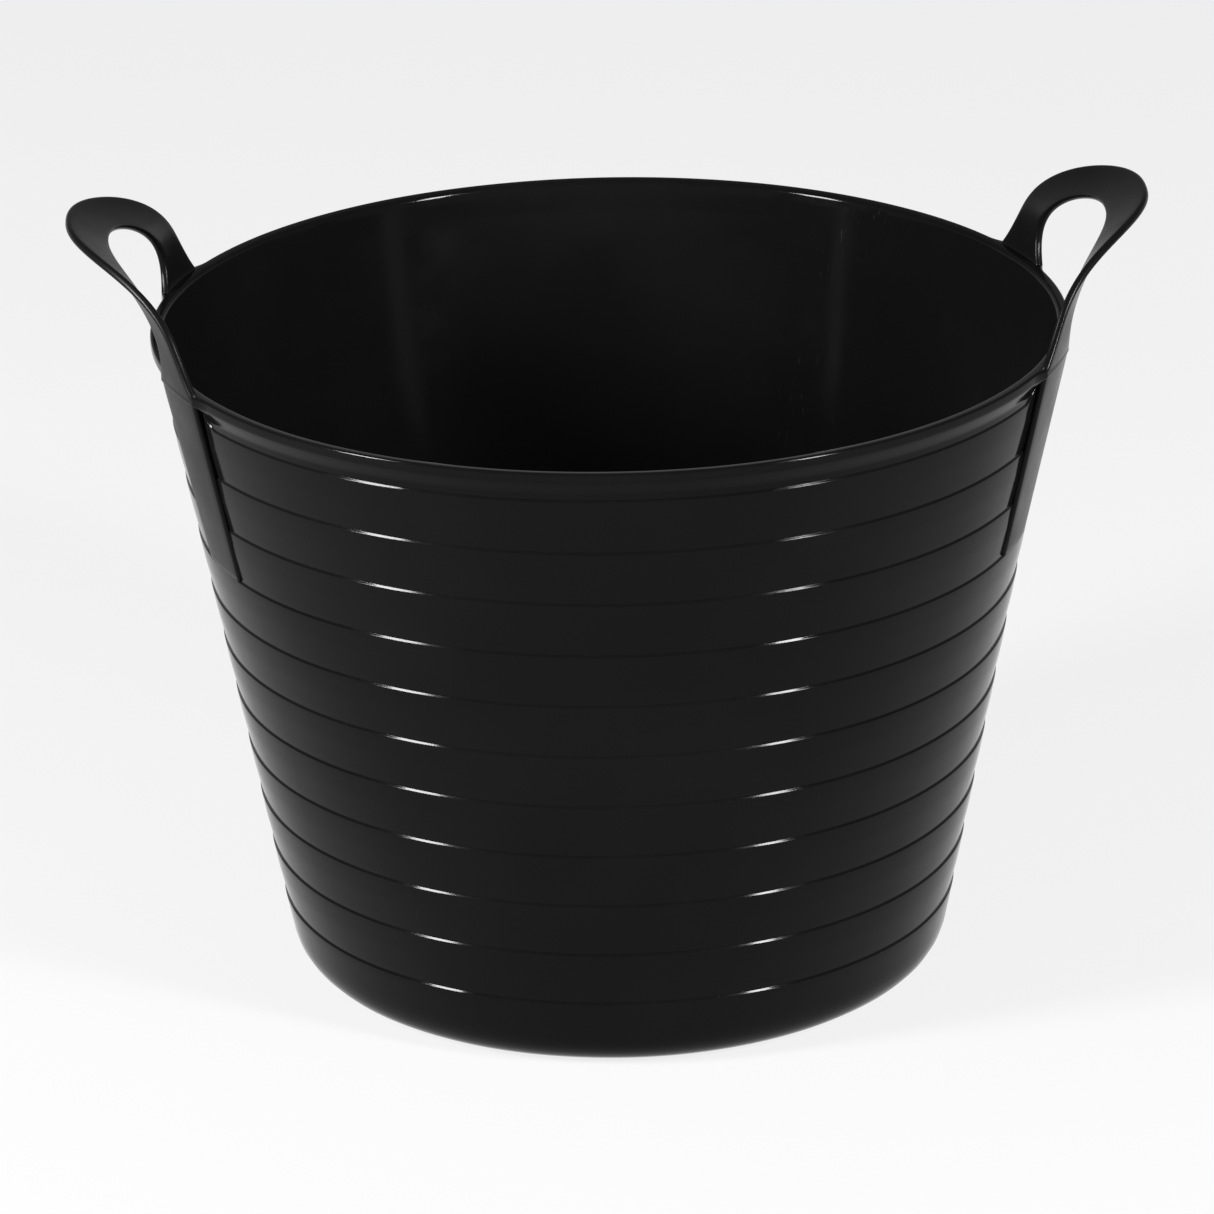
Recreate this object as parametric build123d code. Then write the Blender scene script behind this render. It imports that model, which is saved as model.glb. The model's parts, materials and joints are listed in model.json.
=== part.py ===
from build123d import *
import os
from math import cos, degrees, radians, sin, sqrt, tan

# A one-piece flexible feed bucket: a tapered round tub with a banded wall, a thick rolled rim and two
# flared arch handles that flex about their roots.  Millimetres.  +Z is up, the floor it stands on is z = 0,
# the axis of the tub is the Z axis and the handles stand on +X (right) and -X (left); front is -Y.

# Body
RIM_DIAMETER = 450.0          # over the rolled lip
BODY_HEIGHT = 331.0           # floor to the top of the lip
WALL_THICKNESS = 4.0
WALL_LEAN = 10.7              # degrees the mean wall line leans outward
LIP_WIDTH = 6.0               # radial thickness of the rolled lip
COLLAR_HEIGHT = 15.0          # top of the lip down to the first ledge
COLLAR_FLARE = 2.5            # how much the collar narrows below the lip
COLLAR_LEDGE = 2.0            # how far the collar stands proud of the mean wall line
BAND_COUNT = 10
BAND_PITCH = 27.8
BAND_STEP = 0.6               # how far each band's shoulder stands out past the foot of the band above
BAND_SHOULDER = 0.8           # height of the sloped shoulder at the top of each band
BAND_BULGE = 0.5              # how far the middle of a band stands out from the mean wall line

# Base
HEEL_RADIUS = 24.0            # outer rounding between wall and base
HEEL_INNER_RADIUS = 19.0
FLOOR_THICKNESS = 5.0
FLOOR_RECESS = 2.0            # underside of the floor above the standing ring
FLOOR_RADIUS = 118.0

# Handles
ROOT_PROUD = 3.0              # how far the handle legs stand out past the lip, level with it
ROOT_DROP = 1.0               # handle base line below the top of the lip
ARCH_HALF_WIDTH = 91.0        # outer edge of the arch, before the root widens it
ARCH_RISE = 58.0
ARCH_POWER = 2.56             # superellipse exponent of the outer edge
GAP_HALF_WIDTH = 72.0         # finger gap, before the root narrows it
GAP_RISE = 46.5
GAP_POWER = 2.25
ROOT_SPREAD_OUT = 8.4         # how much further out each leg reaches at its root
ROOT_SPREAD_IN = 12.0         # how much further in each leg reaches at its root
SPREAD_RISE_OUT = 24.0        # height over which the outer edge spreads
SPREAD_RISE_IN = 30.0         # height over which the inner edge spreads
STRAP_THICKNESS = 3.8
STRAP_EDGE_RADIUS = 1.2
LEG_LEAN = 0.17               # outward run per unit of rise near the root
FLARE_REACH = 36.5            # outward reach of the arch edge at its crown
FLARE_POWER = 4.7             # how late the outward curl begins
GRIP_LENGTH = 90.0            # part of the arch that is the hand grip
LEG_TAIL = 12.0               # leg length running down outside the collar

# Flexing root of each handle
FLEX_HEIGHT = 12.0            # flex axis above the handle base line
KNUCKLE_RADIUS = 11.0
FLEX_GAP = 0.4

# Gusset ribs under the handle legs
GUSSET_START = 15.3           # degrees from the X axis
GUSSET_ARC = 10.5             # degrees wide
GUSSET_BANDS = 3              # bands the rib runs down over
GUSSET_TOE = 1.6              # how far the rib stands out where it dies into the wall

RIM_RADIUS = RIM_DIAMETER / 2
ROOT_RADIUS = RIM_RADIUS + ROOT_PROUD
LIP_RADIUS = LIP_WIDTH / 2
LEDGE_Z = BODY_HEIGHT - COLLAR_HEIGHT
HEEL_Z = LEDGE_Z - BAND_COUNT * BAND_PITCH
BASE_Z = BODY_HEIGHT - ROOT_DROP
LEDGE_RADIUS = RIM_RADIUS - COLLAR_FLARE - COLLAR_LEDGE
FLEX_Z = BASE_Z + FLEX_HEIGHT


def wall(z):
    """Mean outer radius of the wall at height z."""
    return LEDGE_RADIUS - (LEDGE_Z - z) * tan(radians(WALL_LEAN))


def ring(outline):
    """Full turn of a closed (radius, height) outline."""
    return revolve(Plane.XZ * outline, Axis.Z, 360)


def floor_disc():
    centre = Pos(0, 0, FLOOR_RECESS + FLOOR_THICKNESS / 2)
    return centre * Cylinder(FLOOR_RADIUS, FLOOR_THICKNESS)


def heel():
    top = FLOOR_RECESS + FLOOR_THICKNESS
    inner = wall(top) - WALL_THICKNESS
    outline = Polygon(
        (wall(HEEL_Z) - WALL_THICKNESS, HEEL_Z),
        (wall(HEEL_Z) - BAND_STEP / 2, HEEL_Z),
        (wall(HEEL_Z) + BAND_STEP / 2, HEEL_Z - BAND_SHOULDER),
        (wall(0), 0),
        (FLOOR_RADIUS, 0),
        (FLOOR_RADIUS, top),
        (inner, top),
        align=None,
    )
    outer_corner = min(outline.vertices(), key=lambda v: (v.X - wall(0)) ** 2 + v.Y**2)
    outline = fillet(outer_corner, HEEL_RADIUS)
    inner_corner = min(outline.vertices(), key=lambda v: (v.X - inner) ** 2 + (v.Y - top) ** 2)
    return ring(fillet(inner_corner, HEEL_INNER_RADIUS))


def band(index):
    """One convex band: a sloped shoulder at its top, tapering in to its foot."""
    top = LEDGE_Z - index * BAND_PITCH
    bottom = top - BAND_PITCH
    middle = (top + bottom) / 2
    shoulder = (wall(top) + BAND_STEP / 2, top - BAND_SHOULDER)
    foot = (wall(bottom) - BAND_STEP / 2, bottom)
    sides = Polyline(foot, (wall(bottom) - WALL_THICKNESS, bottom), (wall(top) - WALL_THICKNESS, top))
    sides += Polyline((wall(top) - WALL_THICKNESS, top), (wall(top) - BAND_STEP / 2, top), shoulder)
    face = ThreePointArc(shoulder, (wall(middle) + BAND_BULGE, middle), foot)
    return ring(make_face(sides + face))


def rim():
    shoulder = BODY_HEIGHT - LIP_RADIUS
    inner = RIM_RADIUS - LIP_WIDTH
    foot_inner = wall(LEDGE_Z) - WALL_THICKNESS
    foot_outer = wall(LEDGE_Z) + COLLAR_LEDGE
    sides = Polyline((inner, shoulder), (foot_inner, LEDGE_Z), (foot_outer, LEDGE_Z), (RIM_RADIUS, shoulder))
    lip = ThreePointArc((RIM_RADIUS, shoulder), (RIM_RADIUS - LIP_RADIUS, BODY_HEIGHT), (inner, shoulder))
    return ring(make_face(sides + lip))


def sheet_x(y, rise):
    """X of the handle's outer face above the handle base line."""
    curl = (FLARE_REACH - LEG_LEAN * ARCH_RISE) * (max(rise, 0) / ARCH_RISE) ** FLARE_POWER
    return sqrt(ROOT_RADIUS**2 - y * y) + LEG_LEAN * rise + curl


def arch_point(angle, half_width, height, power, spread, spread_rise):
    """Point on the handle's outer face along one edge of the arch; angle 0 and 180 are the roots."""
    across = cos(radians(angle))
    side = 1 if across >= 0 else -1
    rise = height * max(sin(radians(angle)), 0) ** (2 / power)
    width = half_width * abs(across) ** (2 / power) + spread * max(1 - rise / spread_rise, 0) ** 2
    return Vector(sheet_x(side * width, rise), side * width, BASE_Z + rise)


def edge_points(angle):
    inner = arch_point(angle, GAP_HALF_WIDTH, GAP_RISE, GAP_POWER, -ROOT_SPREAD_IN, SPREAD_RISE_IN)
    outer = arch_point(angle, ARCH_HALF_WIDTH, ARCH_RISE, ARCH_POWER, ROOT_SPREAD_OUT, SPREAD_RISE_OUT)
    return inner, outer


def strap_section(inner, outer, along):
    """Rounded strap section whose outer side runs from the inner edge to the outer edge."""
    across = outer - inner
    normal = along.cross(across).normalized()
    centre = (inner + outer) * 0.5 + normal * (STRAP_THICKNESS / 2)
    plane = Plane(origin=centre, x_dir=across, z_dir=across.cross(normal))
    return plane * RectangleRounded(across.length, STRAP_THICKNESS, STRAP_EDGE_RADIUS)


def root_section(side):
    """Lowest section of one leg, a tail length below the handle base line."""
    down = Vector(-LEG_LEAN * LEG_TAIL, 0, -LEG_TAIL)
    inner, outer = edge_points(90 - 90 * side)
    return strap_section(inner + down, outer + down, down * -side)


def arch():
    """The whole right-hand handle strap, both legs and the grip."""
    sections = [root_section(1)]
    for step in range(0, 19):
        angle = 10.0 * step
        before, after = edge_points(max(angle - 1, 0)), edge_points(min(angle + 1, 180))
        along = (after[0] + after[1]) - (before[0] + before[1])
        inner, outer = edge_points(angle)
        sections.append(strap_section(inner, outer, along))
    sections.append(root_section(-1))
    return loft(sections)


def flex_x():
    inner, outer = edge_points(0)
    return (inner.X + outer.X) / 2 + LEG_LEAN * FLEX_HEIGHT - STRAP_THICKNESS / 2


def knuckle(radius):
    """Cylinder about the flex axis, as long as the handle is wide."""
    return Pos(flex_x(), 0, FLEX_Z) * Rot(90, 0, 0) * Cylinder(radius, 3 * ARCH_HALF_WIDTH)


def upper_space():
    return Pos(0, 0, FLEX_Z) * Box(1200, 1200, 400, align=(Align.CENTER, Align.CENTER, Align.MIN))


def side_space(side, start):
    """Everything on one side of the plane y = side * start."""
    middle = side * (start + 500)
    return Pos(0, middle, 0) * Box(1200, 1000, 1200)


def gusset(strap, rings, side):
    """Rib up the outside of the wall and the fixed root of the leg above it."""
    toe_z = LEDGE_Z - GUSSET_BANDS * BAND_PITCH
    toe = wall(toe_z) + GUSSET_TOE
    outline = Polygon(
        (wall(toe_z) - 2, toe_z),
        (toe, toe_z),
        (ROOT_RADIUS, BASE_Z),
        (ROOT_RADIUS - STRAP_THICKNESS, BASE_Z),
        align=None,
    )
    rib = revolve(Plane.XZ * outline, Axis.Z, GUSSET_ARC)
    start = GUSSET_START if side > 0 else -GUSSET_START - GUSSET_ARC
    rib = Rot(0, 0, start) * rib
    leg = strap & side_space(side, 0)
    piece = rib + (leg - upper_space()) + (leg & knuckle(KNUCKLE_RADIUS))
    for solid in rings:
        piece = piece - solid
    return piece


parts = {"floor": floor_disc(), "heel": heel(), "rim": rim()}
for index in range(BAND_COUNT):
    parts[f"band_{index + 1:02d}"] = band(index)

neighbours = [parts["rim"]] + [parts[f"band_{index + 1:02d}"] for index in range(GUSSET_BANDS + 1)]
strap = arch()
free = (strap & upper_space()) - knuckle(KNUCKLE_RADIUS + FLEX_GAP)
grip_space = Box(1200, GRIP_LENGTH, 1200)
right = {
    "handle_right_grip": free & grip_space,
    "handle_right_leg_front": free & side_space(-1, GRIP_LENGTH / 2),
    "handle_right_leg_rear": free & side_space(1, GRIP_LENGTH / 2),
    "gusset_right_front": gusset(strap, neighbours, -1),
    "gusset_right_rear": gusset(strap, neighbours, 1),
}
for name, solid in right.items():
    parts[name] = solid
    parts[name.replace("right", "left")] = mirror(solid, about=Plane.YZ)

os.makedirs("parts", exist_ok=True)
for name, solid in parts.items():
    export_step(solid, f"parts/{name}.step")
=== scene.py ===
"""Looks of a one-piece flexible feed bucket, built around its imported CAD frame.

The bucket is one black polyethylene moulding: a tapered round tub with a banded wall, a rolled rim and two
flared strap handles that flex where they leave the rim.  The frame gives every overall size and place; the
classes below add the moulded detail: the sloped shoulder and belly of each band, the way the collar sweeps up
into each handle leg, and the rounded, outward curled strap of each handle.  Units are metres.
"""
from __future__ import annotations

import json
import logging
import math
from dataclasses import dataclass, field
from enum import Enum

import bpy
import numpy as np
from mathutils import Matrix, Vector


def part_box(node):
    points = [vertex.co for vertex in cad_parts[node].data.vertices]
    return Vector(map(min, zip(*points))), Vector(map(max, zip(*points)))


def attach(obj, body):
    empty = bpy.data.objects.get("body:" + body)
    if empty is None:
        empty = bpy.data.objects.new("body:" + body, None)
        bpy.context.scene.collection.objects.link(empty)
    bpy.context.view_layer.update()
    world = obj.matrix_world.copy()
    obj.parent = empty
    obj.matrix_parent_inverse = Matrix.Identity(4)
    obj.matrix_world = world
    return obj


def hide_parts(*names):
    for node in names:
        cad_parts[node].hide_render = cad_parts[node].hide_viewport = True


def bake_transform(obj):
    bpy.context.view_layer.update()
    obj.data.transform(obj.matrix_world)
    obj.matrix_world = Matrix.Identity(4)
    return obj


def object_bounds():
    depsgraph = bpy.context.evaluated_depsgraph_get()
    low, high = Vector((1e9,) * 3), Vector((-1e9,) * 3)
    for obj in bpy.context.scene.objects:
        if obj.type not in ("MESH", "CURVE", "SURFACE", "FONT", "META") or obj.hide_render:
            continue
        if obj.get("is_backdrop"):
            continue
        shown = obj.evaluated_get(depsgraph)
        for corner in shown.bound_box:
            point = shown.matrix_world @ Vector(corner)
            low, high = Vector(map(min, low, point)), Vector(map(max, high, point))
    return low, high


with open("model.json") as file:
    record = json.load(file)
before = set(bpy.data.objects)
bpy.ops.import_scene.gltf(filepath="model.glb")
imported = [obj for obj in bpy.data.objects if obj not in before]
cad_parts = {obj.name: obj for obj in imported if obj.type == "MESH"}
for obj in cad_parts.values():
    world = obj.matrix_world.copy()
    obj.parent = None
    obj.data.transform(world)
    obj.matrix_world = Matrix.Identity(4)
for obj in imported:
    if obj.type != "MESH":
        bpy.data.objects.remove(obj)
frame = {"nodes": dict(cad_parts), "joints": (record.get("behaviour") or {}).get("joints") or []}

LOG = logging.getLogger("feed_bucket")
MM = 0.001
UP = Vector((0.0, 0.0, 1.0))
Socket = bpy.types.NodeSocket


class Side(Enum):
    """The two handles, by the direction in which each stands out from the tub."""

    LEFT = -1
    RIGHT = 1

    @property
    def word(self) -> str:
        """The side's name as the frame's nodes and bodies spell it."""
        return self.name.lower()


class Slot(Enum):
    """The record's material slots."""

    TUB = "tub"
    HANDLES = "handles"


@dataclass(frozen=True)
class Corner:
    """One corner of a moulded profile.

    Attributes:
        radius: Distance from the tub's axis.
        height: Height above the floor.
        rounding: Radius that the mould rounds the corner with.
    """

    radius: float
    height: float
    rounding: float


def rounded_line(corners: list[Corner], turn: float, stride: float) -> np.ndarray:
    """Draws the line through a list of corners, each rounded by its own radius.

    Args:
        corners: The corners in order; the first and the last are plain ends.
        turn: Largest angle in radians between two points of an arc.
        stride: Longest straight step between two points.

    Returns:
        An array of (radius, height) points.
    """
    places = [np.array((c.radius, c.height)) for c in corners]
    points = [places[0]]
    for index in range(1, len(places)):
        here = places[index]
        arc = [here]
        if index < len(places) - 1:
            arc = corner_arc(places[index - 1], here, places[index + 1], corners[index].rounding, turn)
        straight = arc[0] - points[-1]
        pieces = max(1, math.ceil(float(np.linalg.norm(straight)) / stride))
        start = points[-1]
        points += [start + straight * (step / pieces) for step in range(1, pieces)]
        points += arc
    return np.array(points)


def corner_arc(before: np.ndarray, here: np.ndarray, after: np.ndarray, rounding: float, turn: float) -> list:
    """Rounds one corner.

    Args:
        before: The corner before this one.
        here: This corner.
        after: The corner after this one.
        rounding: Radius of the arc, which shrinks if the sides are too short for it.
        turn: Largest angle in radians between two points of the arc.

    Returns:
        The arc's points in order.
    """
    back = (before - here) / np.linalg.norm(before - here)
    ahead = (after - here) / np.linalg.norm(after - here)
    opening = math.acos(float(np.clip(back @ ahead, -1, 1)))
    bend = math.pi - opening
    if rounding <= 0 or bend < 1e-3:
        return [here]
    room = 0.48 * min(np.linalg.norm(before - here), np.linalg.norm(after - here))
    reach = min(rounding * math.tan(bend / 2), float(room))
    rounding = reach / math.tan(bend / 2)
    centre = here + (back + ahead) / np.linalg.norm(back + ahead) * (rounding / math.cos(bend / 2))
    first = here + back * reach - centre
    last = here + ahead * reach - centre
    steps = max(2, math.ceil(bend / turn))
    arc = []
    for step in range(steps + 1):
        share = step / steps
        mixed = (math.sin((1 - share) * bend) * first + math.sin(share * bend) * last) / math.sin(bend)
        arc.append(centre + mixed)
    return arc


def soft_ramp(value: np.ndarray, softness: float) -> np.ndarray:
    """A ramp that is 0 well below zero and the value well above it, with a smooth change between."""
    return softness * np.logaddexp(0.0, value / softness)


def smooth_share(value: np.ndarray, low: float, high: float) -> np.ndarray:
    """Goes smoothly from 0 at low to 1 at high."""
    share = np.clip((value - low) / (high - low), 0.0, 1.0)
    return share * share * (3 - 2 * share)


def quad_skin(name: str, grid: np.ndarray, closed_rows: bool, closed_columns: bool) -> bpy.types.Object:
    """Makes a smooth mesh from a grid of points.

    Args:
        name: Name of the new object.
        grid: Points, as rows by columns by three.
        closed_rows: True if the last row joins the first.
        closed_columns: True if each row is a closed loop.

    Returns:
        The new object, linked to the scene.
    """
    rows, columns = grid.shape[:2]
    row_steps = rows if closed_rows else rows - 1
    column_steps = columns if closed_columns else columns - 1
    faces = []
    for row in range(row_steps):
        low = row * columns
        high = ((row + 1) % rows) * columns
        for column in range(column_steps):
            beside = (column + 1) % columns
            faces.append((low + column, low + beside, high + beside, high + column))
    if not closed_rows and closed_columns:
        faces.append(tuple(reversed(range(columns))))
        faces.append(tuple(range((rows - 1) * columns, rows * columns)))
    mesh = bpy.data.meshes.new(name)
    mesh.from_pydata(grid.reshape(-1, 3).tolist(), [], faces)
    mesh.validate()
    mesh.shade_smooth()
    made = bpy.data.objects.new(name, mesh)
    bpy.context.scene.collection.objects.link(made)
    return made


class Nodes:
    """A short way to write a material's node tree."""

    def __init__(self, tree: bpy.types.NodeTree) -> None:
        """Starts from an emptied tree."""
        tree.nodes.clear()
        self.tree = tree

    def add(self, kind: str, inputs: dict | None = None, **settings: object) -> bpy.types.Node:
        """Adds a node.

        Args:
            kind: Blender's class name of the node.
            inputs: Values or output sockets, by the input's name or number.
            settings: Properties of the node itself.

        Returns:
            The new node.
        """
        node = self.tree.nodes.new(kind)
        for key, value in settings.items():
            setattr(node, key, value)
        for key, value in (inputs or {}).items():
            if isinstance(value, Socket):
                self.tree.links.new(value, node.inputs[key])
            else:
                node.inputs[key].default_value = value
        return node

    def noise(self, where: Socket, scale: float, detail: float, rough: float) -> Socket:
        """A noise value at a place, as an output socket."""
        inputs = {"Vector": where, "Scale": scale, "Detail": detail, "Roughness": rough}
        return self.add("ShaderNodeTexNoise", inputs).outputs["Fac"]

    def span(self, value: Socket, low: float, high: float, start: float, end: float) -> Socket:
        """Maps a value from low..high to start..end, clamped, as an output socket."""
        inputs = {"Value": value, "From Min": low, "From Max": high, "To Min": start, "To Max": end}
        return self.add("ShaderNodeMapRange", inputs, clamp=True).outputs["Result"]

    def maths(self, operation: str, first: object, second: object) -> Socket:
        """One sum on two values or sockets, as an output socket."""
        return self.add("ShaderNodeMath", {0: first, 1: second}, operation=operation).outputs[0]

    def mix_colour(self, share: object, first: object, second: object) -> Socket:
        """Mixes two colours, as an output socket."""
        inputs = {0: share, 6: first, 7: second}
        return self.add("ShaderNodeMix", inputs, data_type="RGBA").outputs[2]


@dataclass(frozen=True)
class SatinPolyethylene:
    """Carbon black polyethylene as it leaves a polished mould and has been handled since.

    Attributes:
        name: Name of the material.
        black: Colour of clean plastic.
        bloom: Colour of the faint grey bloom and rubbed edges.
        gloss: Specular level of the surface.
        smoothest: Roughness of the most polished patches.
        roughest: Roughness of the most handled patches.
        ripple_depth: Depth of the slow ripple that cooling leaves.
        grain_depth: Depth of the fine grain.
    """

    name: str
    black: tuple = (0.002, 0.002, 0.0021, 1.0)
    bloom: tuple = (0.0042, 0.0042, 0.0044, 1.0)
    gloss: float = 0.06
    smoothest: float = 0.07
    roughest: float = 0.125
    ripple_depth: float = 0.35 * MM
    grain_depth: float = 0.012 * MM

    def build(self) -> bpy.types.Material:
        """Builds the material.

        Returns:
            The new material.
        """
        material = bpy.data.materials.new(self.name)
        material.use_nodes = True
        nodes = Nodes(material.node_tree)
        place = nodes.add("ShaderNodeTexCoord").outputs["Object"]
        patches = nodes.noise(place, 9.0, 3.0, 0.55)
        cloud = nodes.noise(place, 42.0, 4.0, 0.6)
        rub = self._rub_marks(nodes, place)
        edge = nodes.span(nodes.add("ShaderNodeNewGeometry").outputs["Pointiness"], 0.515, 0.56, 0.0, 1.0)
        roughness = nodes.span(patches, 0.3, 0.7, self.smoothest, self.roughest)
        roughness = nodes.maths("ADD", roughness, nodes.span(cloud, 0.35, 0.65, -0.025, 0.03))
        roughness = nodes.maths("ADD", roughness, nodes.maths("MULTIPLY", rub, 0.16))
        rubbed = nodes.maths("MULTIPLY", rub, 0.6)
        dull = nodes.maths("ADD", nodes.span(patches, 0.42, 0.75, 0.0, 0.35), rubbed)
        dull = nodes.maths("ADD", dull, nodes.maths("MULTIPLY", edge, 0.4))
        colour = nodes.mix_colour(nodes.span(dull, 0.0, 1.0, 0.0, 1.0), self.black, self.bloom)
        inputs = {"Base Color": colour, "Roughness": roughness, "Normal": self._relief(nodes, place)}
        inputs["Specular IOR Level"] = self.gloss
        shader = nodes.add("ShaderNodeBsdfPrincipled", inputs)
        nodes.add("ShaderNodeOutputMaterial", {"Surface": shader.outputs["BSDF"]})
        return material

    def _rub_marks(self, nodes: Nodes, place: Socket) -> Socket:
        """Thin slanted rub marks.

        Args:
            nodes: The tree being written.
            place: Place on the surface.

        Returns:
            A socket that is 1 on a mark and 0 off it.
        """
        marks = None
        for lean, scale in ((0.5, 1.0), (-0.9, 1.4)):
            stretch = (900.0 * scale, 900.0 * scale, 24.0)
            inputs = {"Vector": place, "Rotation": (lean, lean * 0.6, lean), "Scale": stretch}
            stretched = nodes.add("ShaderNodeMapping", inputs).outputs["Vector"]
            line = nodes.span(nodes.noise(stretched, 1.0, 2.0, 0.5), 0.66, 0.74, 0.0, 1.0)
            patch = nodes.span(nodes.noise(place, 14.0 * scale, 2.0, 0.5), 0.52, 0.66, 0.0, 1.0)
            mark = nodes.maths("MULTIPLY", line, patch)
            marks = mark if marks is None else nodes.maths("MAXIMUM", marks, mark)
        return marks

    def _relief(self, nodes: Nodes, place: Socket) -> Socket:
        """The slow ripple of cooled plastic with a fine grain over it.

        Args:
            nodes: The tree being written.
            place: Place on the surface.

        Returns:
            The bumped normal.
        """
        ripple = nodes.noise(place, 11.0, 1.5, 0.4)
        inputs = {"Height": ripple, "Distance": self.ripple_depth, "Strength": 1.0}
        slow = nodes.add("ShaderNodeBump", inputs).outputs["Normal"]
        grain = nodes.noise(place, 1100.0, 2.0, 0.5)
        inputs = {"Height": grain, "Distance": self.grain_depth, "Strength": 0.6, "Normal": slow}
        return nodes.add("ShaderNodeBump", inputs).outputs["Normal"]


@dataclass
class LegRoots:
    """Where the four handle legs stand on the rim, and how the collar sweeps up into them.

    Attributes:
        start: Angle from the X axis to the nearer edge of a leg.
        end: Angle from the X axis to the further edge of a leg.
        sweep: Distance beside a leg over which the collar's foot rises.
        sweep_rise: How far the collar's foot has risen at the leg.
        flare: How far the collar stands out further at the leg.
        fine_window: Angle to each side of a leg edge over which the mesh is fine.
        closest: Smallest angle between two steps of the mesh.
    """

    start: float = math.radians(15.3)
    end: float = math.radians(25.8)
    sweep: float = 11 * MM
    sweep_rise: float = 9.5 * MM
    flare: float = 2.6 * MM
    fine_window: float = math.radians(3.6)
    closest: float = math.radians(0.08)

    def edges(self) -> list[float]:
        """The angles of all eight leg edges round the tub, in order."""
        quarter = (self.start, self.end)
        return sorted(half + side * angle for half in (0.0, math.pi) for side in (-1, 1) for angle in quarter)

    def beside(self, angles: np.ndarray, radius: float) -> np.ndarray:
        """Distance along the rim from each angle to the nearest leg.

        Args:
            angles: Angles round the tub.
            radius: Radius of the rim.

        Returns:
            The distances, negative under a leg.
        """
        folded = np.abs(np.arctan2(np.sin(2 * angles), np.cos(2 * angles))) / 2
        middle = (self.start + self.end) / 2
        half = (self.end - self.start) / 2
        return (np.abs(folded - middle) - half) * radius

    def angles(self, count: int, fine_steps: int) -> np.ndarray:
        """Angles for the tub's mesh, close together beside the legs.

        Args:
            count: Even steps round the whole tub.
            fine_steps: Extra steps on each side of a leg edge.

        Returns:
            The sorted angles.
        """
        even = np.linspace(-math.pi / 2, 1.5 * math.pi, count, endpoint=False)
        fine = self.fine_window * np.linspace(-1, 1, 2 * fine_steps + 1)
        every = np.concatenate([even] + [edge + fine for edge in self.edges()])
        every = np.sort((every + math.pi / 2) % (2 * math.pi) - math.pi / 2)
        keep = np.concatenate([[True], np.diff(every) > self.closest])
        return every[keep]


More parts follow.
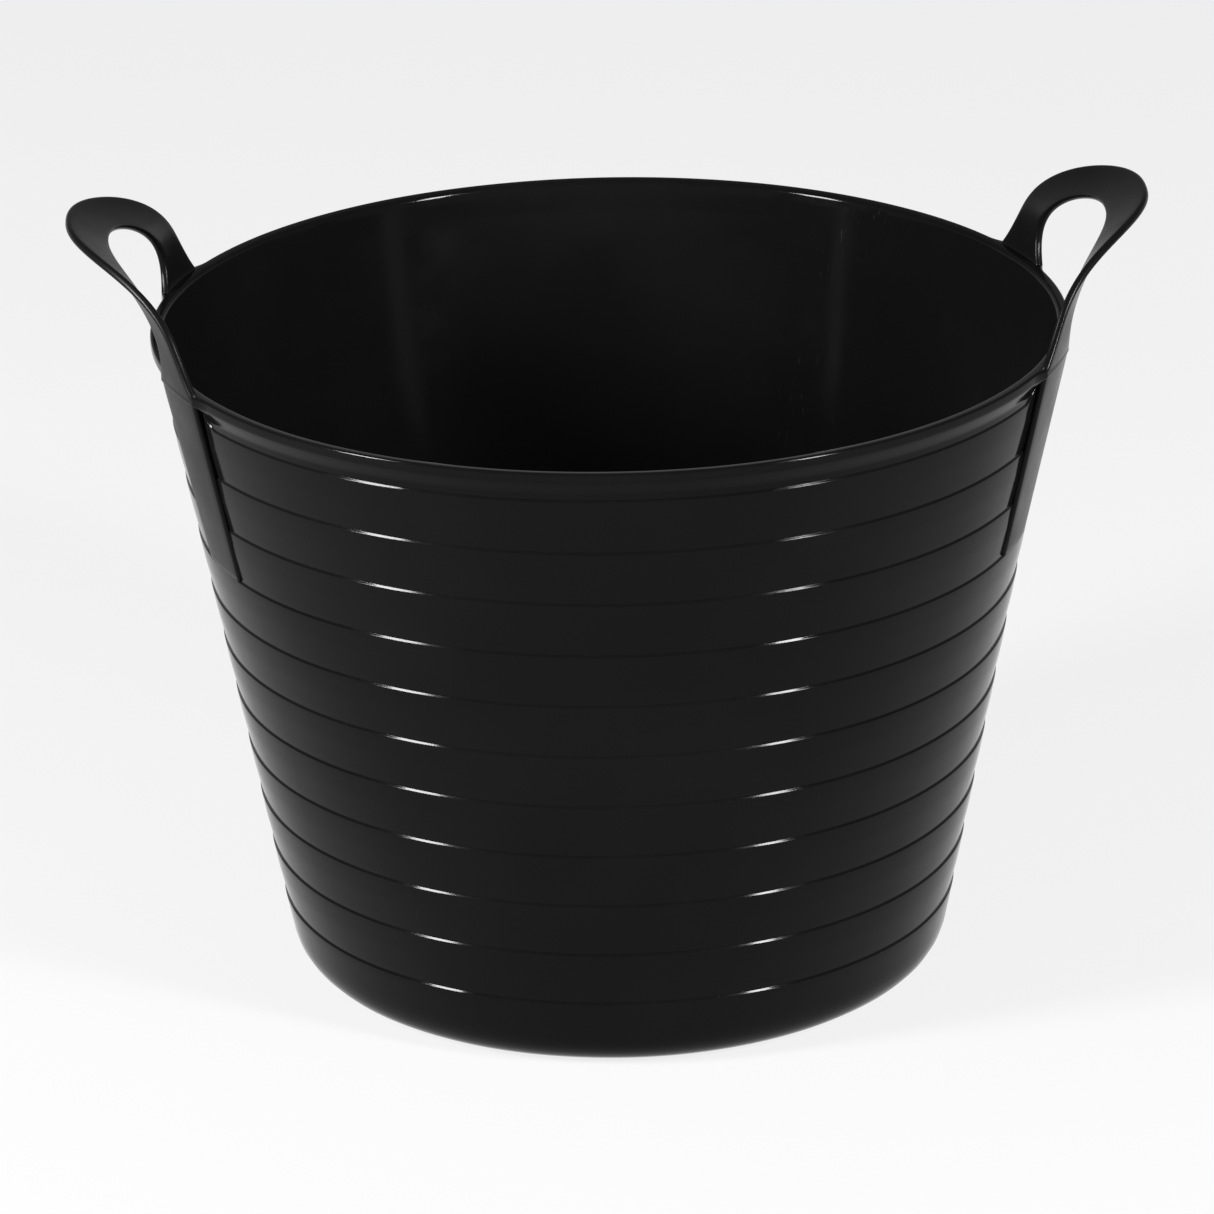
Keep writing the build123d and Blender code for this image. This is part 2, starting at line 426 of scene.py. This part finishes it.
@dataclass
class TubShell:
    """The tub's whole skin, from the recessed underside up the banded wall, over the lip and down inside.

    Attributes:
        roots: The handle legs' roots on the rim.
        wall_thickness: Thickness of the wall at a band's foot.
        lip_width: Thickness of the rolled lip.
        collar_narrowing: How much the collar narrows from the lip to its foot.
        collar_foot_rounding: Rounding of the collar's lower edge.
        step: How far a band's shoulder stands out past the foot of the band above.
        shoulder_height: Height of the sloped shoulder.
        shoulder_rounding: Rounding between the shoulder and the band's face.
        crease_rounding: Rounding in the crease between two bands.
        groove: How far the crease lies inside the foot of the band above.
        foot_height: Height over which a band's foot turns in to the crease.
        belly: How far the middle of a band stands out from the wall's line.
        belly_drop: How far the middle of a band lies below its line.
        belly_rounding: Rounding over the middle of a band.
        heel_rounding: Rounding between the wall and the standing ring.
        inner_rounding: Rounding between the inner wall and the floor.
        floor_recess: How far the floor's underside lies above the standing ring.
        recess_radius: Radius of the recess under the floor.
        floor_thickness: Thickness of the floor.
        waviness: How far the moulded wall strays from a true circle.
        middle_hole: Radius of the circles that are closed last in the middle of the floor.
        arc_turn: Largest angle between two points of a rounding.
        stride: Longest step between two points of the half section.
        round_steps: Even steps round the tub.
        fine_steps: Extra steps to each side of a leg edge.
    """

    roots: LegRoots = field(default_factory=LegRoots)
    wall_thickness: float = 4 * MM
    lip_width: float = 6.0 * MM
    collar_narrowing: float = 4.2 * MM
    collar_foot_rounding: float = 0.5 * MM
    step: float = 0.6 * MM
    shoulder_height: float = 1.0 * MM
    shoulder_rounding: float = 0.6 * MM
    crease_rounding: float = 0.2 * MM
    groove: float = 0.1 * MM
    foot_height: float = 0.35 * MM
    belly: float = 0.5 * MM
    belly_drop: float = 12 * MM
    belly_rounding: float = 90 * MM
    heel_rounding: float = 24 * MM
    inner_rounding: float = 19 * MM
    floor_recess: float = 2 * MM
    recess_radius: float = 118 * MM
    floor_thickness: float = 5 * MM
    waviness: float = 0.14 * MM
    middle_hole: float = 4 * MM
    arc_turn: float = math.radians(14)
    stride: float = 5 * MM
    round_steps: int = 216
    fine_steps: int = 14

    def __post_init__(self) -> None:
        """Reads the wall's line, the band heights and the rim from the frame."""
        self.bands = sorted(name for name in frame["nodes"] if name.startswith("band_"))
        boxes = [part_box(name) for name in self.bands]
        rise = boxes[0][1].z - boxes[-1][1].z
        self.lean = (boxes[0][1].x - boxes[-1][1].x) / rise
        self.lines = [high.z for _, high in boxes] + [boxes[-1][0].z]
        self.ledge = self.lines[0]
        self.ledge_radius = boxes[0][1].x - self.step / 2
        rim_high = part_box("rim")[1]
        self.rim_radius = rim_high.x
        self.rim_top = rim_high.z

    def wall(self, height: float) -> float:
        """Mean outer radius of the wall at a height."""
        return self.ledge_radius - (self.ledge - height) * self.lean

    def profile(self) -> np.ndarray:
        """The tub's half section, from the middle of the underside round to the middle of the floor inside.

        Returns:
            An array of (radius, height) points.
        """
        corners = [Corner(self.middle_hole, self.floor_recess, 0.0)]
        corners += self._standing_ring()
        for line in reversed(self.lines):
            corners += self._band_below(line)
        corners += self._collar_and_lip()
        corners += self._inside()
        return rounded_line(corners, self.arc_turn, self.stride)

    def _standing_ring(self) -> list[Corner]:
        """Corners of the recess, the standing ring and the heel.

        Returns:
            The corners, from the recess outward.
        """
        return [
            Corner(self.recess_radius, self.floor_recess, 1.2 * MM),
            Corner(self.recess_radius + 1.2 * MM, 0.0, 1.0 * MM),
            Corner(self.wall(0.0), 0.0, self.heel_rounding),
        ]

    def _band_below(self, line: float) -> list[Corner]:
        """Corners of the shoulder below one band line and the crease on the line itself.

        Args:
            line: Height of the band line.

        Returns:
            The corners from below upward.
        """
        middle = line - self.belly_drop
        foot = line + self.foot_height
        corners = []
        if line > self.lines[-1]:
            corners.append(Corner(self.wall(middle) + self.belly, middle, self.belly_rounding))
        half = self.step / 2
        corners.append(Corner(self.wall(line) + half, line - self.shoulder_height, self.shoulder_rounding))
        corners.append(Corner(self.wall(line) - half - self.groove, line, self.crease_rounding))
        if line < self.ledge:
            corners.append(Corner(self.wall(foot) - half, foot, self.shoulder_rounding))
        return corners

    def _collar_and_lip(self) -> list[Corner]:
        """Corners of the collar's foot and the rolled lip.

        Returns:
            The corners from below upward and inward.
        """
        foot = self.rim_radius - self.collar_narrowing
        half = self.lip_width / 2
        return [
            Corner(foot - 0.3 * MM, self.ledge + 0.35 * MM, self.collar_foot_rounding),
            Corner(foot + 0.25 * MM, self.ledge + 3.5 * MM, 6 * MM),
            Corner(self.rim_radius, self.rim_top - 4.5 * MM, 3 * MM),
            Corner(self.rim_radius - 0.1 * MM, self.rim_top, 0.4 * half),
            Corner(self.rim_radius - self.lip_width, self.rim_top - 0.5 * MM, 0.8 * half),
        ]

    def _inside(self) -> list[Corner]:
        """Corners of the inner wall and the floor.

        Returns:
            The corners from the lip down to the middle of the floor.
        """
        top = self.floor_recess + self.floor_thickness
        low = self.wall(top) - self.wall_thickness
        return [
            Corner(self.wall(self.ledge) - self.wall_thickness, self.ledge, 20 * MM),
            Corner(low, top, self.inner_rounding),
            Corner(self.middle_hole, top, 0.0),
        ]

    def build(self) -> bpy.types.Object:
        """Builds the skin as one mesh.

        Returns:
            The tub's object.
        """
        outline = self.profile()
        angles = self.roots.angles(self.round_steps, self.fine_steps)
        radius, height = outline[:, 0], outline[:, 1]
        outer = np.arange(len(outline)) <= int(np.argmax(height + 0.2 * radius))
        rows = []
        for angle, beside in zip(angles, self.roots.beside(angles, self.rim_radius)):
            r, z = self._swept(radius, height, outer, float(beside))
            r = r + self._stray(angle, z) * smooth_share(r, 0.1, 0.14)
            rows.append(np.stack([r * math.cos(angle), r * math.sin(angle), z], axis=-1))
        grid = np.array(rows)
        shell = quad_skin("tub_shell", grid, closed_rows=True, closed_columns=False)
        self._close_middle(shell, len(outline), len(angles))
        return shell

    def _swept(self, radius: np.ndarray, height: np.ndarray, outer: np.ndarray, beside: float) -> tuple:
        """Sweeps the collar's foot up where it runs into a handle leg.

        Args:
            radius: Radii of the half section.
            height: Heights of the half section.
            outer: True for the points outside the top of the lip.
            beside: Distance to the nearest leg, negative under it.

        Returns:
            The changed radii and heights.
        """
        roots = self.roots
        if beside >= roots.sweep:
            return radius, height
        near = 1 - max(beside, 0.0) / roots.sweep
        foot_rise = roots.sweep_rise * near**2.2
        above = smooth_share(height, self.ledge - 14 * MM, self.ledge - self.shoulder_height)
        top = smooth_share(height, self.ledge, self.rim_top - self.lip_width / 2)
        lip = self.lip_width
        outside = smooth_share(radius, self.rim_radius - lip, self.rim_radius - 0.45 * lip)
        lift = np.where(outer, above * foot_rise * (1 - top), 0.0)
        collar = np.where(outer, smooth_share(height, self.ledge, self.ledge + 0.5 * MM), 0.0)
        spread = lift * self.lean + collar * outside * roots.flare * near**2
        return radius + spread, height + lift

    def _stray(self, angle: float, height: np.ndarray) -> np.ndarray:
        """How far the wall strays from a true circle.

        Args:
            angle: Angle round the tub.
            height: Heights of the half section.

        Returns:
            The strays at those heights.
        """
        slow = np.sin(3 * angle + 1.1 + 9 * height) + 0.6 * np.sin(7 * angle - 0.7 - 21 * height)
        return self.waviness * (slow + 0.35 * np.sin(13 * angle + 2.0 + 33 * height))

    def _close_middle(self, shell: bpy.types.Object, columns: int, rows: int) -> None:
        """Closes the small open circles in the middle of the floor, above and below.

        Args:
            shell: The tub's object.
            columns: Points in the half section.
            rows: Steps round the tub.
        """
        mesh = shell.data
        points = np.zeros(len(mesh.vertices) * 3)
        mesh.vertices.foreach_get("co", points)
        faces = [tuple(face.vertices) for face in mesh.polygons]
        faces.append(tuple(reversed([row * columns for row in range(rows)])))
        faces.append(tuple(row * columns + columns - 1 for row in range(rows)))
        mesh.clear_geometry()
        mesh.from_pydata(points.reshape(-1, 3).tolist(), [], faces)
        mesh.validate()
        mesh.shade_smooth()

    def dress(self, shell: bpy.types.Object, finish: bpy.types.Material) -> None:
        """Finishes the shell and ties it to the frame.

        Args:
            shell: The tub's object.
            finish: The tub's material.
        """
        shell.data.materials.append(finish)
        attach(shell, "tub")
        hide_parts("floor", "heel", "rim", *self.bands)


@dataclass
class HandleStrap:
    """One handle: a strap that rises as a rib on the wall, arches over the finger gap and comes down again.

    Attributes:
        side: Which handle it is.
        root_radius: Radius of the strap's outer face, level with the top of the lip.
        half_width: Half the width over the handle's outer edges at the rim.
        rise: Height of the crown's outer edge above the base line.
        outer_power: Superellipse power of the outer edge.
        gap_half_width: Half the width of the finger gap at the rim.
        gap_rise: Height of the finger gap.
        gap_power: Superellipse power of the finger gap.
        spread_out: How much further out each leg reaches at its root.
        spread_in: How much further in each leg reaches at its root.
        spread_rise_out: Height over which the outer edge spreads.
        spread_rise_in: Height over which the inner edge spreads.
        leg_lean: Outward run of a leg per unit of rise.
        reach: How far the crown's outer edge stands out from the root radius.
        curl_power: How late the outward curl begins.
        thickness: Thickness of the strap.
        edge_rounding: Rounding of the strap's edges.
        base_drop: Height of the base line below the top of the lip.
        toe_stand: How far the rib stands out from the wall where it dies away.
        bend_start: Height above the lip where the strap would begin to flex; not used.
        bend_end: Height above the lip where the strap would have turned fully; not used.
        rib_step: Distance between stations on the ribs.
        arch_step: Distance between stations on the arch.
        flats: Steps across each flat face of the section.
        turns: Steps round each corner of the section.
    """

    side: Side
    root_radius: float = 228 * MM
    half_width: float = 91 * MM
    rise: float = 58 * MM
    outer_power: float = 2.56
    gap_half_width: float = 72 * MM
    gap_rise: float = 46.5 * MM
    gap_power: float = 2.25
    spread_out: float = 8.4 * MM
    spread_in: float = 12 * MM
    spread_rise_out: float = 24 * MM
    spread_rise_in: float = 30 * MM
    leg_lean: float = 0.17
    reach: float = 36.5 * MM
    curl_power: float = 4.7
    thickness: float = 3.8 * MM
    edge_rounding: float = 1.6 * MM
    base_drop: float = 1 * MM
    toe_stand: float = 1.4 * MM
    bend_start: float = 5 * MM
    bend_end: float = 27 * MM
    rib_step: float = 3 * MM
    arch_step: float = 1.4 * MM
    flats: int = 8
    turns: int = 5

    def __post_init__(self) -> None:
        """Reads the rim, the toe of the ribs and the flexing joint from the frame."""
        self.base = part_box("rim")[1].z - self.base_drop
        names = [f"gusset_{self.side.word}_{end}" for end in ("front", "rear")]
        self.toe = min(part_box(name)[0].z for name in names)
        self.nodes = [name for name in frame["nodes"] if name.startswith(f"handle_{self.side.word}")] + names
        joint = next(j for j in frame["joints"] if j["child"] == f"handle_{self.side.word}")
        self.pivot = Vector(joint["pos_m"])

    def run(self, across: np.ndarray, rise: np.ndarray, rib_lean: float) -> np.ndarray:
        """Places on the strap's outer face.

        Args:
            across: Distance from the middle of the handle, measured at the root radius.
            rise: Height above the base line; negative on the ribs.
            rib_lean: Inward run of the ribs per unit of drop.

        Returns:
            The places, with a last axis of three, for a handle that stands towards +X.
        """
        softness = 4 * MM
        down = soft_ramp(-rise, softness)
        up = soft_ramp(rise, softness)
        radius = self.root_radius - rib_lean * down
        turn = np.arcsin(across / self.root_radius)
        share = np.clip(rise, 0.0, None) / self.rise
        curl = (self.reach - self.leg_lean * self.rise) * share**self.curl_power
        x = radius * np.cos(turn) + self.leg_lean * up + curl
        y = radius * np.sin(turn)
        return np.stack([x, y, self.base + rise], axis=-1)

    def edge_lines(self) -> tuple[np.ndarray, np.ndarray]:
        """The inner and outer edges of the strap, from one toe over the arch to the other.

        Returns:
            Two arrays of (across, rise), one for the inner edge and one for the outer edge.
        """
        theta = np.linspace(0, math.pi, 4001)
        inner, outer = self._arch_edges(theta)
        middle = (inner + outer) / 2
        along = np.concatenate([[0.0], np.cumsum(np.linalg.norm(np.diff(middle, axis=0), axis=1))])
        stations = np.linspace(0, along[-1], int(along[-1] / self.arch_step))
        pick = np.interp(stations, along, theta)
        inner, outer = self._arch_edges(pick)
        depth = self.base - self.toe
        drops = -np.linspace(depth, 0, int(depth / self.rib_step), endpoint=False)
        edges = []
        for edge in (inner, outer):
            first = np.stack([np.full_like(drops, edge[0, 0]), drops], axis=-1)
            last = np.stack([np.full_like(drops, edge[-1, 0]), drops], axis=-1)[::-1]
            edges.append(np.concatenate([first, edge, last]))
        return edges[0], edges[1]

    def _arch_edges(self, theta: np.ndarray) -> tuple[np.ndarray, np.ndarray]:
        """The arch's inner and outer edges, spread at the roots.

        Args:
            theta: Places along the arch, from 0 at the rear root to pi at the front root.

        Returns:
            The inner and the outer edge as arrays of (across, rise).
        """
        inner = self._spread_superellipse(
            theta, self.gap_half_width, self.gap_rise, self.gap_power, -self.spread_in, self.spread_rise_in
        )
        outer = self._spread_superellipse(
            theta, self.half_width, self.rise, self.outer_power, self.spread_out, self.spread_rise_out
        )
        return inner, outer

    @staticmethod
    def _spread_superellipse(
        theta: np.ndarray, half_width: float, height: float, power: float, spread: float, spread_rise: float
    ) -> np.ndarray:
        """Half a superellipse whose ends are spread.

        Args:
            theta: Places along it, from 0 to pi.
            half_width: Half its width.
            height: Its height.
            power: Its power.
            spread: How much wider each end is.
            spread_rise: Height at which the spread begins.

        Returns:
            An array of (across, rise).
        """
        rise = height * np.clip(np.sin(theta), 0, 1) ** (2 / power)
        width = half_width * np.abs(np.cos(theta)) ** (2 / power)
        width += spread * np.clip(1 - rise / spread_rise, 0, 1) ** 2
        return np.stack([np.sign(np.cos(theta)) * width, rise], axis=-1)

    def section(self, width: float) -> np.ndarray:
        """The strap's rounded section.

        Args:
            width: Width of the strap here.

        Returns:
            A closed loop of (across share, depth) points.
        """
        rounding = min(self.edge_rounding, 0.49 * self.thickness, 0.49 * width)
        thick = self.thickness
        corners = (
            (rounding, rounding, 1.0), (width - rounding, rounding, 1.5),
            (width - rounding, thick - rounding, 0.0), (rounding, thick - rounding, 0.5),
        )
        loop = []
        for index, (across, depth, start) in enumerate(corners):
            for step in range(self.turns + 1):
                angle = math.pi * (start + 0.5 * step / self.turns)
                loop.append((across + rounding * math.cos(angle), depth + rounding * math.sin(angle)))
            ahead = corners[(index + 1) % 4]
            if index % 2 == 0:
                first = np.array(loop[-1])
                angle = math.pi * ahead[2]
                last = np.array(ahead[:2]) + rounding * np.array((math.cos(angle), math.sin(angle)))
                loop += [tuple(first + (last - first) * step / self.flats) for step in range(1, self.flats)]
        loop = np.array(loop)
        return loop / np.array((width, 1.0))

    def build(self, wall_radius: float) -> bpy.types.Object:
        """Builds the strap as one mesh.

        Args:
            wall_radius: Mean outer radius of the wall at the ribs' toe.

        Returns:
            The handle's object.
        """
        toe_radius = wall_radius + self.toe_stand
        rib_lean = (self.root_radius - toe_radius) / (self.base - self.toe)
        inner, outer = self.edge_lines()
        rows = []
        nudge = 0.05 * MM
        for station in range(len(inner)):
            low, high = inner[station], outer[station]
            ends = self.run(np.array([low[0], high[0]]), np.array([low[1], high[1]]), rib_lean)
            width = float(np.linalg.norm(ends[1] - ends[0]))
            loop = self.section(width)
            share = loop[:, :1]
            here = low + (high - low) * share
            face = self.run(here[:, 0], here[:, 1], rib_lean)
            side = self.run(here[:, 0] + nudge, here[:, 1], rib_lean) - face
            climb = self.run(here[:, 0], here[:, 1] + nudge, rib_lean) - face
            normal = np.cross(side, climb)
            normal /= np.linalg.norm(normal, axis=1, keepdims=True)
            rows.append(face - normal * loop[:, 1:2])
        grid = np.array(rows)
        grid[:, :, 0] *= self.side.value
        if self.side is Side.LEFT:
            grid = grid[:, ::-1]
        return quad_skin(f"handle_{self.side.word}_strap", grid, closed_rows=False, closed_columns=True)

    def dress(self, strap: bpy.types.Object, finish: bpy.types.Material) -> None:
        """Finishes the strap, bakes its placement into the mesh and hides the frame's handle parts.

        Args:
            strap: The handle's object.
            finish: The handles' material.
        """
        strap.data.materials.append(finish)
        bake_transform(strap)
        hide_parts(*self.nodes)


@dataclass(frozen=True)
class SoftBox:
    """One soft studio light.

    Attributes:
        name: Name of the light.
        azimuth: Direction from the bucket in degrees, 0 towards the viewer and 90 to the right.
        elevation: Height above the horizon in degrees.
        distance: Distance from the middle of the bucket.
        width: Width of the light's face.
        height: Height of the light's face.
        power: Power in watts.
    """

    name: str
    azimuth: float
    elevation: float
    distance: float
    width: float
    height: float
    power: float

    def build(self, aim: Vector, turn: float) -> None:
        """Sets the light up.

        Args:
            aim: The point that the light faces.
            turn: Azimuth of the viewer in radians, which the light's own azimuth adds to.
        """
        azimuth = turn + math.radians(self.azimuth)
        elevation = math.radians(self.elevation)
        flat = math.cos(elevation)
        away = Vector((math.sin(azimuth) * flat, -math.cos(azimuth) * flat, math.sin(elevation)))
        data = bpy.data.lights.new(self.name, "AREA")
        data.shape = "RECTANGLE"
        data.size = self.width
        data.size_y = self.height
        data.energy = self.power
        lamp = bpy.data.objects.new(self.name, data)
        lamp.location = aim + away * self.distance
        lamp.rotation_euler = away.to_track_quat("Z", "Y").to_euler()
        bpy.context.scene.collection.objects.link(lamp)


@dataclass
class Studio:
    """A pale floor, soft lights and the camera.

    Attributes:
        floor_size: Side of the floor.
        floor_glow: Brightness of the pale floor.
        viewer_azimuth: Direction of the camera from the bucket, 0 in front and positive to the right.
        viewer_elevation: Height of the camera above the horizon.
        viewer_distance: Distance of the camera from the middle of the mouth.
        lens: Focal length for a 36 mm sensor.
        aim_below: How far the camera aims below the middle of the mouth.
        aim_left: How far the camera aims to the left of the middle of the mouth.
        roll: How far the camera leans clockwise.
        lights: The soft boxes.
        floor_albedo: Share of the soft boxes' light that the floor gives back.
        horizon_glow: Brightness of the room near the horizon.
        overhead_glow: Brightness of the room overhead.
    """

    floor_size: float = 60.0
    floor_glow: float = 0.8
    viewer_azimuth: float = math.radians(-2.7)
    viewer_elevation: float = math.radians(18.862)
    viewer_distance: float = 3.828
    lens: float = 231.46
    aim_below: float = math.radians(2.126)
    aim_left: float = math.radians(0.019)
    roll: float = math.radians(0.985)
    lights: tuple = (
        SoftBox("key_left", -61.5, 25.0, 2.2, 0.38, 0.85, 165.0),
        SoftBox("key_right", 49.0, 25.0, 2.2, 0.26, 0.85, 122.0),
    )

    floor_albedo: float = 0.05
    horizon_glow: float = 0.45
    overhead_glow: float = 0.14

    def build(self) -> None:
        """Builds the floor, the surroundings, the lights and the camera."""
        low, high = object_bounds()
        middle = Vector((0.0, 0.0, (low.z + high.z) / 2))
        self._floor(low.z)
        self._surroundings()
        for light in self.lights:
            light.build(middle, self.viewer_azimuth)
        self._camera(Vector((0.0, 0.0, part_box("rim")[1].z)))
        bpy.context.scene.view_settings.view_transform = "Standard"

    def _floor(self, height: float) -> None:
        """Lays the pale floor.

        Args:
            height: Height of the floor.
        """
        mesh = bpy.data.meshes.new("studio_floor")
        half = self.floor_size / 2
        corners = [(-half, -half, height), (half, -half, height), (half, half, height), (-half, half, height)]
        mesh.from_pydata(corners, [], [(0, 1, 2, 3)])
        floor = bpy.data.objects.new("studio_floor", mesh)
        bpy.context.scene.collection.objects.link(floor)
        material = bpy.data.materials.new("pale_floor")
        material.use_nodes = True
        nodes = Nodes(material.node_tree)
        albedo = self.floor_albedo
        inputs = {"Base Color": (albedo, albedo, albedo, 1.0), "Roughness": 0.9, "Specular IOR Level": 0.1}
        inputs.update({"Emission Color": (1.0, 1.0, 1.0, 1.0), "Emission Strength": self.floor_glow})
        shader = nodes.add("ShaderNodeBsdfPrincipled", inputs)
        nodes.add("ShaderNodeOutputMaterial", {"Surface": shader.outputs["BSDF"]})
        mesh.materials.append(material)
        floor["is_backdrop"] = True

    def _surroundings(self) -> None:
        """Lights the room softly: paler at the horizon than overhead."""
        world = bpy.data.worlds.new("studio_room")
        world.use_nodes = True
        nodes = Nodes(world.node_tree)
        direction = nodes.add("ShaderNodeTexCoord").outputs["Generated"]
        height = nodes.add("ShaderNodeSeparateXYZ", {"Vector": direction}).outputs["Z"]
        strength = nodes.span(height, 0.12, 0.4, self.horizon_glow, self.overhead_glow)
        background = nodes.add("ShaderNodeBackground", {"Color": (1.0, 1.0, 1.0, 1.0), "Strength": strength})
        nodes.add("ShaderNodeOutputWorld", {"Surface": background.outputs["Background"]})
        bpy.context.scene.world = world

    def _camera(self, mouth: Vector) -> None:
        """Sets the camera up.

        Args:
            mouth: Middle of the tub's mouth, level with the lip.
        """
        flat = math.cos(self.viewer_elevation)
        away = Vector((
            math.sin(self.viewer_azimuth) * flat,
            -math.cos(self.viewer_azimuth) * flat,
            math.sin(self.viewer_elevation),
        ))
        ahead = -away
        right = ahead.cross(UP).normalized()
        above = right.cross(ahead)
        rolled = right * math.cos(self.roll) - above * math.sin(self.roll)
        above = rolled.cross(ahead)
        turn = Matrix.Rotation(-self.aim_below, 3, rolled) @ Matrix.Rotation(self.aim_left, 3, above)
        axes = [turn @ axis for axis in (rolled, above, -ahead)]
        data = bpy.data.cameras.new("camera")
        data.lens = self.lens
        data.sensor_width = 36.0
        data.clip_end = 200.0
        camera = bpy.data.objects.new("camera", data)
        stand = Matrix.Translation(mouth + away * self.viewer_distance)
        camera.matrix_world = stand @ Matrix(axes).transposed().to_4x4()
        bpy.context.scene.collection.objects.link(camera)
        bpy.context.scene.camera = camera


def main() -> None:
    """Builds the tub, the handles and the studio."""
    logging.basicConfig(level=logging.INFO, format="%(name)s: %(message)s")
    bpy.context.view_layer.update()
    tub = TubShell()
    shell = tub.build()
    tub.dress(shell, SatinPolyethylene("tub_polyethylene").build())
    LOG.info("tub shell: %d faces, %d band lines", len(shell.data.polygons), len(tub.lines))
    handle_finish = SatinPolyethylene("handle_polyethylene", smoothest=0.2, roughest=0.36).build()
    for side in Side:
        handle = HandleStrap(side)
        strap = handle.build(tub.wall(handle.toe))
        handle.dress(strap, handle_finish)
        LOG.info("%s handle strap: %d faces", side.word, len(strap.data.polygons))
    studio = Studio()
    studio.build()
    LOG.info("studio: %d lights", len(studio.lights))


if __name__ == "__main__":
    main()
